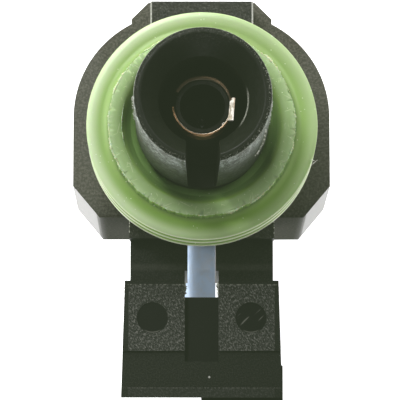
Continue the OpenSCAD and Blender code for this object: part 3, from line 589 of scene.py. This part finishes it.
def make_lower_seal():
    bore = SLEEVE_ROOT_R + 0.02
    lip = fillet([(LIP_R + 0.15, SEAL_FACE_Z), (LIP_R, seal_hi.z - 0.03),
                  (LIP_BORE_R + 0.55, seal_hi.z - 0.05),
                  (LIP_BORE_R, SEAL_FACE_Z + 0.1), (LIP_BORE_R - 0.35, SEAL_FACE_Z - 0.35),
                  (bore, SEAL_FACE_Z - 0.45)],
                 [0.12, 0.04, 0.8, 0.3, 0.15, 0.0], 4)
    rim = seal_rim()
    face = [(SEAL_R - GROOVE - 0.2 - k * 0.4, SEAL_FACE_Z) for k in range(3)]
    outline = [(bore, seal_lo.z)] + rim + face + [tuple(p) for p in lip]
    lip_start = 1 + len(rim) + len(face)
    lip_edge = range(lip_start + 4, lip_start + 10)

    def wobble(i, turn):
        spot = Vector((3 * math.cos(turn), 3 * math.sin(turn), i * 0.01))
        if i in lip_edge:
            rough = sum(noise.noise(spot * scale) * depth for scale, depth in LIP_ROUGHNESS)
            return rough, noise.noise(spot * 2.0 + Vector((9, 0, 0))) * 0.03
        return noise.noise(spot) * 0.02, 0.0

    seal = lathe("seal_ribbed", outline, 720, wobble)
    dress(seal, seal_rubber(), "seal_rubber", "lower_seal")


def make_lip_flash():
    """Torn flash on the outer edge of the lip, and on its inner edge on one side."""
    look = Finish("flash_green_look", (0.36, 0.48, 0.24), 0.55, Subsurface_Weight=0.3, Subsurface_Scale=MM)
    look.colour(look.mix(look.noise(2.5), (0.30, 0.42, 0.18), (0.52, 0.60, 0.42)))
    sets = (("seal_flash_outer", LIP_R, seal_hi.z - 0.10, 0.26, 0, 360),
            ("seal_flash_inner", LIP_BORE_R + 0.5, seal_hi.z - 0.16, -0.34, 158, 214))
    for name, radius, z, height, start, end in sets:
        steps = (end - start) * 2
        closed = end - start == 360
        verts, faces = [], []
        for j in range(steps):
            turn = math.radians(start + (end - start) * j / steps)
            spot = Vector((math.cos(turn), math.sin(turn), height)) * 6
            fade = 1 if closed else math.sin(math.pi * j / (steps - 1))
            lumps = max(0.0, 0.25 + 1.1 * noise.noise(spot))
            tall = height * fade * max(0.06, lumps + 0.7 * (chance.random() - 0.5))
            for reach, rise in ((0.0, -0.06), (1.0, -0.02 + 0.08 * chance.random()), (0.0, 0.07)):
                r = radius + tall * reach
                verts.append((r * math.cos(turn), r * math.sin(turn), z + rise))
            if j + 1 < steps or closed:
                nxt = (j + 1) % steps
                faces += [(3 * j + k, 3 * j + (k + 1) % 3, 3 * nxt + (k + 1) % 3, 3 * nxt + k)
                          for k in range(3)]
        if not closed:
            last = 3 * (steps - 1)
            faces += [(0, 2, 1), (last, last + 1, last + 2)]
        flash = make_object(name, verts, faces)
        dress(flash, look.material, "seal_rubber")


# ---------------------------------------------------------------- nose sleeve
BORE_R = 4.05
MOUTH_R = 5.65
MOUTH_L = 2.6
FLANGE_T = 1.5
SLOT_TIP_W = 3.15
SLOT_BASE_W = 2.6


def make_nose_sleeve():
    flange_r = sleeve_hi.x
    root_z = mounts["nozzle_nose"]["pos_m"][2] / MM - 6.6
    outline = fillet([
        (BORE_R, sleeve_lo.z), (flange_r, sleeve_lo.z), (flange_r, sleeve_lo.z + FLANGE_T),
        (SLEEVE_ROOT_R, sleeve_lo.z + FLANGE_T), (SLEEVE_ROOT_R, root_z), (NOSE_R, root_z + 0.2),
        (NOSE_R, TIP_Z), (MOUTH_R, TIP_Z - 0.02), (BORE_R, TIP_Z - MOUTH_L)],
        [0.1, 0.15, 0.15, 0.1, 0.05, 0.1, 0.45, 0.14, 0.25], 6)
    sleeve = lathe("nose_sleeve_moulded", [tuple(p) for p in outline], 240)
    slot_z = SEAL_FACE_Z + 0.5
    over = 1.0
    top_w = SLOT_TIP_W + (SLOT_TIP_W - SLOT_BASE_W) * over / (TIP_Z - slot_z)
    corners = fillet([(-SLOT_BASE_W / 2, slot_z), (SLOT_BASE_W / 2, slot_z),
                      (top_w / 2, TIP_Z + over), (-top_w / 2, TIP_Z + over)], [0.3, 0.3, 0, 0], 4)
    near, far = -NOSE_R - over, -1.0
    verts = [(p[0], y, p[1]) for y in (near, far) for p in corners]
    count = len(corners)
    faces = [tuple(range(count)), tuple(reversed(range(count, 2 * count)))]
    faces += [(i, (i + 1) % count, count + (i + 1) % count, count + i) for i in range(count)]
    carve(sleeve, make_object("slot_cutter", verts, faces))
    soften(sleeve, 0.09, 3, 38)
    dress(sleeve, nose_plastic(), "nose_plastic", "nose_sleeve")


def pale_flash_look():
    """Thin flash that is pale where it is torn."""
    look = Finish("flash_pale_look", (0.55, 0.56, 0.48), 0.35)
    look.colour(look.mix(look.ramp(look.noise(2.2), 0.42, 0.6), (0.14, 0.14, 0.11), (0.85, 0.86, 0.76)))
    return look.material


def make_parting_fins(material):
    """Parting-line flash on both sides of the nose."""
    foot_z = SEAL_FACE_Z + 2.0
    count = 60
    for side, turn, top, tall in (("left", 180.0, 0.6, 0.24), ("right", -3.0, 1.2, 0.16)):
        out = Vector((math.cos(math.radians(turn)), math.sin(math.radians(turn)), 0))
        path = line(out * NOSE_R + Vector((0, 0, foot_z)), out * NOSE_R + Vector((0, 0, TIP_Z - top)), count)
        fin = ragged_fin("nose_flash_" + side, path, [out] * count, tall, 0.05, 0.95)
        dress(fin, material, "nose_plastic")


def make_curl(material):
    """One torn curl that winds down the right of the nose."""
    steps = 25
    path = []
    for i in range(steps + 1):
        t = i / steps
        turn = math.radians(-24 - 15 * t)
        r = NOSE_R + 0.03 + 0.16 * math.sin(math.pi * t) + 0.05 * noise.noise(Vector((t * 7, 0, 0)))
        path.append(Vector((r * math.cos(turn), r * math.sin(turn), TIP_Z - 3.4 - 6.2 * t)))
    outs = [Vector((p.x, p.y, 0)).normalized() for p in path]
    dress(ragged_fin("nose_flash_curl", path, outs, 0.13, 0.06, 0.8), material, "nose_plastic")


def make_seal_threads(material):
    """Two short hairs of flash on the rim of the seal. Their ends are measured from the rim's face."""
    ends = (((10.25, -3.95, 0.05), (10.95, -3.4, 0.45)), ((10.3, -3.3, 0.1), (10.8, -3.55, 0.5)))
    count = 9
    lift = Vector((0, 0, SEAL_FACE_Z))
    for i, (start, end) in enumerate(ends):
        path = line(Vector(start) + lift, Vector(end) + lift, count)
        hair = ragged_fin("seal_thread_%d" % (i + 1), path, [Vector((0, 0, 1))] * count, 0.06, 0.05, 0.4)
        dress(hair, material, "seal_rubber")


# ---------------------------------------------------------------- split ring
def ring_shape(offset):
    """Extra radius, widening and height of the rolled strip, offset degrees round from its pinched flat."""
    extra, spread, tall = 0.0, 0.0, 1.0
    if abs(offset) < 21:
        ease = math.cos(math.radians(offset / 21 * 90)) ** 0.5
        spread, tall = 0.14 * ease, 1.0 - 0.05 * ease
    if offset > 21:
        spread = 0.32 * math.sin(min(1.0, (offset - 21) / 30) * math.pi / 2)
    if offset < -140:
        extra = 0.10 * (-(offset + 140) / 41)
    return extra, spread, tall


def ring_brass(inner):
    """Tarnished brass: silvery on its inner edge, with painted shade that darkens the upper half."""
    look = Finish("ring_brass_look", (0.6, 0.35, 0.2), 0.34, Metallic=1.0)
    # painted shade on the upper half
    upper_shade = look.ramp(look.split()[1], -0.5 * MM, 1.2 * MM)
    silver = look.ramp(look.radius(), (inner + 0.10) * MM, (inner + 0.17) * MM, 0.85, 0.0)
    copper = look.mix(look.ramp(look.noise(1.6, 4, 0.7), 0.4, 0.65), (0.52, 0.30, 0.15), (0.22, 0.13, 0.06))
    copper = look.mix(silver, copper, (0.42, 0.40, 0.33))
    look.colour(look.mix(look.math("MULTIPLY", upper_shade, 0.8), copper, (0.13, 0.10, 0.065)))
    look.bump(look.noise(3.0, 4), 0.02)
    return look.material


def bright_brass(flat):
    """Rubbed bright metal of the pinched flat, whose outer side is at x = flat; its pale cream colour is
    partly a painted highlight.
    """
    # pale cream colour: partly rubbed metal and partly a painted highlight
    bright = Finish("ring_flat_look", (0.9, 0.86, 0.74), 0.42, Metallic=0.45)
    streaks = bright.noise(2.6, 5, 0.75, place=bright.stretched((1, 3, 1), (0, 0, -0.1)))
    x_edge = bright.ramp(bright.split()[0], (flat - 0.24) * MM, (flat - 0.08) * MM, 0.0, 0.8)
    pale = bright.mix(bright.ramp(streaks, 0.36, 0.6), (0.42, 0.35, 0.24), (1.0, 0.97, 0.88))
    bright.colour(bright.mix(x_edge, pale, (0.55, 0.40, 0.24)))
    bright.bump(streaks, 0.04)
    return bright.material


def make_rolled_strip():
    """Sweep of a rounded section with an open seam on -X and a pinch on +X."""
    inner = -ring_lo.x - 0.35
    thick = 0.30
    height = ring_hi.z - ring_lo.z - 0.1
    steps = 150
    section = fillet([(0, 0), (thick, 0), (thick, height), (0, height)], [0.1] * 4, 3)
    start, end = 151.0, -180.0
    verts, faces = [], []
    for i in range(steps + 1):
        t = i / steps
        offset = start + (end - start) * t
        turn = math.radians(offset)
        extra, spread, tall = ring_shape(offset)
        r = inner + 0.03 + 0.035 * noise.noise(Vector((t * 6, 1.3, 0))) + extra
        tilt = 0.07 * math.sin(turn + 0.6)
        for s, h in section:
            rr = r + s * (1 + spread * 1.6)
            verts.append((rr * math.cos(turn), rr * math.sin(turn), ring_lo.z + h * tall + tilt + 0.05))
    count = len(section)
    for i in range(steps):
        a, b = i * count, (i + 1) * count
        faces += [(a + k, a + (k + 1) % count, b + (k + 1) % count, b + k) for k in range(count)]
    faces += [tuple(reversed(range(count))), tuple(range(steps * count, (steps + 1) * count))]
    ring = make_object("split_ring_rolled", verts, faces)
    soften(ring, 0.03, 2, 50, merge_flats=False)
    dress(ring, ring_brass(inner), "ring_brass", "split_ring")


def make_split_ring():
    """A rolled brass strip with a bright tilted flat and a small nub."""
    make_rolled_strip()
    flat = ring_hi.x + 0.12
    outline = [(flat - 0.76, -1.36), (flat - 0.20, -1.38), (flat - 0.01, 0.82), (flat - 0.50, 0.88)]
    tab = prism("split_ring_flat", [tuple(p) for p in fillet(outline, [0.08] * 4, 3)],
                ring_hi.z - 0.34, ring_hi.z - 0.02)
    for vertex in tab.data.vertices:
        if vertex.co.z > (ring_hi.z - 0.2) * MM:
            vertex.co.z += 0.10 * (vertex.co.x - (flat - 0.4) * MM) - 0.07 * (vertex.co.y + 0.25 * MM)
    soften(tab, 0.05, 3, 40, merge_flats=False)
    bright = bright_brass(flat)
    dress(tab, bright, "ring_brass")
    outline = [(1.72, -1.72), (1.98, -1.86), (2.16, -1.62), (1.92, -1.44)]
    nub = prism("split_ring_nub", [tuple(p) for p in fillet(outline, [0.07] * 4, 3)],
                ring_hi.z - 0.5, ring_hi.z - 0.12)
    soften(nub, 0.06, 3, 40, merge_flats=False)
    dress(nub, bright, "ring_brass")


# ---------------------------------------------------------------- rail clip
def make_rail_clip():
    """Stamped clip: flat yoke, and a tongue with a flat underside whose top falls away on -X."""
    outer = clip_hi.x
    slot_r = 5.3
    leg_y = clip_hi.y
    tongue, tongue_x = 1.62, -0.03
    tongue_top, tongue_t = 0.34, 0.85
    arc = [(outer * math.cos(math.radians(a)), outer * math.sin(math.radians(a)))
           for a in range(180, 361, 5)]
    inner = [(slot_r * math.cos(math.radians(a)), slot_r * math.sin(math.radians(a)))
             for a in range(360, 179, -5)]
    outline = arc + [(outer, leg_y), (slot_r, leg_y)] + inner + [(-slot_r, leg_y), (-outer, leg_y)]
    yoke = prism("rail_clip_yoke", outline, clip_lo.z, clip_hi.z - 0.35)
    soften(yoke, 0.2, 3, 40, merge_flats=False)
    root_y = -slot_r - 0.35
    cross, along = 40, 40
    verts, faces = [], []
    for j in range(along + 1):
        y = root_y + (clip_lo.y - root_y) * j / along
        for layer in (0, 1):
            for i in range(cross + 1):
                u = 2 * i / cross - 1
                crown = tongue_top - 0.40 * max(0.06 - u, 0) ** 3 + 0.07 * min(u, 0)
                z = clip_lo.z + (crown + tongue_t if layer else max(crown, 0.04))
                verts.append((tongue * u + tongue_x, y, z))
    row = 2 * (cross + 1)
    for j in range(along):
        a, b = j * row, (j + 1) * row
        for i in range(cross):
            faces.append((a + i, a + i + 1, b + i + 1, b + i))
            top = cross + 1
            faces.append((a + top + i, b + top + i, b + top + i + 1, a + top + i + 1))
        faces.append((a, b, b + cross + 1, a + cross + 1))
        faces.append((a + cross, a + row - 1, b + row - 1, b + cross))
    for a in (0, along * row):
        faces.append(tuple(range(a, a + cross + 1)) + tuple(range(a + row - 1, a + cross, -1)))
    tongue_piece = make_object("rail_clip_tongue", verts, faces)
    soften(tongue_piece, 0.03, 2, 50, merge_flats=False)
    look = metal("clip_steel_look", (0.50, 0.64, 0.82), 0.5, 0.0, tarnish=(0.52, 0.61, 0.73), metallic=0.5)
    dress(yoke, look, "clip_steel", "rail_clip")
    dress(tongue_piece, look, "clip_steel")


# ---------------------------------------------------------------- carried CAD nodes
def paint_cad_nodes():
    """Materials and rounded edges for the CAD nodes that stay."""
    collar = grained_plastic("collar_plastic_look", collar_hi.z, (0.014, 0.014, 0.011), (0.065, 0.065, 0.054),
                             pale_edge_x=4.92)
    shroud = grained_plastic("connector_plastic_look", shroud_hi.z, (0.009, 0.010, 0.008), (0.17, 0.17, 0.15),
                             area=(7.05, -14.5, shroud_lo.y + 0.98), ridge_y=-12.75,
                             marks=(4.74, -17.7, 1.51))
    stainless = metal("stainless_look", (0.62, 0.62, 0.61), 0.28)
    # painted shade: the valve body and orifice plate, deep in the bore, are coloured near black for their
    # shade
    bore_shade_steel = metal("bore_shade_steel_look", (0.020, 0.020, 0.018), 0.5, tarnish=(0.012, 0.011, 0.010))
    magnetic = metal("magnetic_steel_look", (0.40, 0.41, 0.42), 0.36, tarnish=(0.30, 0.30, 0.31))
    looks = {
        "front_collar": (collar, 0.2), "connector_shroud": (shroud, 0.06),
        "housing": (housing_plastic(), 0.35),
        "terminal_left": (metal("terminal_tin_look", (0.78, 0.78, 0.75), 0.22), 0.1),
        "inlet_tube": (stainless, 0.12),
        "backing_ring": (pale_plastic("backing_look", (0.62, 0.57, 0.42)), 0.1),
        "inlet_o_ring": (rubber("o_ring_look", (0.012, 0.012, 0.012)), 0),
        "filter_ring": (metal("filter_brass_look", (0.74, 0.55, 0.25), 0.26, tarnish=(0.5, 0.33, 0.13)),
                        0.08),
        "filter_basket": (pale_plastic("filter_plastic_look", (0.74, 0.71, 0.60)), 0.05),
        "filter_mesh": (gauze_look(), 0), "adjusting_sleeve": (stainless, 0.05),
        "magnet_shell": (magnetic, 0.08), "flux_washer": (magnetic, 0.08),
        "coil_bobbin": (satin_plastic("bobbin_look", (0.10, 0.065, 0.04), (0.14, 0.09, 0.055), 2.0, 0.02),
                        0.06),
        "coil_winding": (winding_copper(), 0),
        "coil_seal_rear": (rubber("coil_seal_look", (0.20, 0.05, 0.03)), 0),
        "spacer_ring": (stainless, 0.05), "valve_body": (bore_shade_steel, 0.06), "valve_seat": (stainless, 0),
        "orifice_plate": (bore_shade_steel, 0), "armature": (magnetic, 0.08), "needle": (stainless, 0),
        "valve_ball": (metal("ball_look", (0.72, 0.72, 0.72), 0.08), 0),
        "return_spring": (metal("spring_steel_look", (0.55, 0.56, 0.58), 0.25), 0),
    }
    looks["terminal_right"] = looks["terminal_left"]
    looks["coil_seal_front"] = looks["coil_seal_rear"]
    unclamped = ("housing", "connector_shroud", "front_collar")
    for node, (look, edge) in looks.items():
        paint(node, look)
        if edge:
            soften(nodes[node], edge, clamp=node not in unclamped)


# ---------------------------------------------------------------- flash on the collar and the socket
def make_body_flash(look):
    """Thin torn fins along the parting lines of the tab, the block and the keyway, on both sides."""
    tab_x, tab_z = 6.87, collar_hi.z - 0.04
    block_x, block_z = 7.42, shroud_hi.z - 1.4
    block_rim_x = shroud_hi.x - 0.53
    key_x, key_z = 1.62, shroud_hi.z - 0.3
    block_slot, tab_slot = "connector_plastic", "collar_plastic"
    for side, label in ((-1, "_left"), (1, "_right")):
        out = Vector((side, 0, 0))
        fins = (
            ("tab_flash", (side * tab_x, collar_lo.y + 0.1, tab_z), (side * tab_x, collar_lo.y + 3.4, tab_z),
             26, Vector((side * 0.7, 0, 0.4)), 0.16, tab_slot),
            ("block_flash", (side * block_x, -14.3, block_z),
             (side * block_rim_x, shroud_lo.y + 0.3, block_z), 90, out, 0.09, block_slot),
            ("keyway_flash", (side * key_x, -14.12, key_z), (side * key_x, -15.5, key_z),
             16, -out, 0.3, block_slot))
        for name, start, end, count, away, tall, slot in fins:
            fin = ragged_fin(name + label, line(start, end, count), [away] * count, tall, 0.05, 0.9)
            dress(fin, look, slot)


# ---------------------------------------------------------------- stage, light and camera
def make_world():
    """Surroundings that are white round the horizon and dim overhead."""
    world = bpy.data.worlds.new("studio")
    world.use_nodes = True
    bpy.context.scene.world = world
    tree = world.node_tree
    place = tree.nodes.new("ShaderNodeTexCoord")
    split = tree.nodes.new("ShaderNodeSeparateXYZ")
    fade = tree.nodes.new("ShaderNodeMapRange")
    for socket, value in zip(("From Min", "From Max", "To Min", "To Max"), (0.15, 0.8, 0.85, 0.13)):
        fade.inputs[socket].default_value = value
    tree.links.new(place.outputs["Generated"], split.inputs[0])
    tree.links.new(split.outputs["Z"], fade.inputs["Value"])
    tree.links.new(fade.outputs["Result"], tree.nodes["Background"].inputs["Strength"])
    tree.nodes["Background"].inputs["Color"].default_value = (1, 1, 1, 1)


def make_stage():
    """A plain pale floor under the part and soft lights."""
    floor = prism("floor", [(-1500, -1500), (1500, -1500), (1500, 1500), (-1500, 1500)], -3.0, 0.0)
    f = Finish("floor_look", (0.92, 0.92, 0.91), 0.6, Emission_Strength=0.7, Emission_Color=(1, 1, 1, 1))
    f.colour(f.mix(f.noise(0.004, 3), (0.92, 0.92, 0.91), (0.94, 0.94, 0.93)))
    floor.data.materials.append(f.material)
    target = Vector((0, 0, 40)) * MM
    lights = (("key", (-45, 130, 118), 110, 0.28), ("right", (110, 90, 120), 90, 0.11),
              ("left", (-260, 60, 120), 160, 0.40), ("top", (-95, 115, 300), 60, 0.30))
    for name, place, size, power in lights:
        lamp = bpy.data.lights.new(name, "AREA")
        lamp.shape, lamp.size, lamp.energy = "DISK", size * MM, power
        obj = bpy.data.objects.new(name, lamp)
        obj.location = Vector(place) * MM
        obj.rotation_euler = (target - obj.location).to_track_quat("-Z", "Y").to_euler()
        bpy.context.scene.collection.objects.link(obj)


def make_camera():
    """A long lens, 9 degrees off the axis towards the connector and a touch towards -X."""
    tilt = math.radians(81)
    sideways = -0.0045
    distance = 300.0
    aim = Vector((-0.19, -7.2, SEAL_FACE_Z))
    camera = bpy.data.cameras.new("camera")
    camera.sensor_width = 36
    camera.lens = 285.0
    camera.clip_start, camera.clip_end = 0.01, 10
    camera.dof.use_dof = False
    obj = bpy.data.objects.new("camera", camera)
    back = Vector((sideways, -math.cos(tilt), math.sin(tilt))).normalized()
    right = Vector((0, 1, 0)).cross(back).normalized()
    obj.location = (aim + back * distance) * MM
    obj.rotation_mode = "QUATERNION"
    obj.rotation_quaternion = Matrix((right, back.cross(right), back)).transposed().to_quaternion()
    bpy.context.scene.collection.objects.link(obj)
    bpy.context.scene.camera = obj


def set_tone():
    """Plain display transform with slightly lifted blacks, as a print has."""
    scene = bpy.context.scene
    scene.view_settings.view_transform = "Standard"
    scene.view_settings.look = "None"
    scene.view_settings.use_curve_mapping = True
    curves = scene.view_settings.curve_mapping
    for index, lift in enumerate((0.020, 0.026, 0.015)):
        curves.curves[index].points[0].location = (0.0, lift)
    curves.update()


make_camera()
make_lower_seal()
make_lip_flash()
make_nose_sleeve()
pale_flash = pale_flash_look()
make_parting_fins(pale_flash)
make_curl(pale_flash)
make_seal_threads(pale_flash)
make_split_ring()
make_rail_clip()
paint_cad_nodes()
make_body_flash(pale_flash)
make_world()
make_stage()
set_tone()
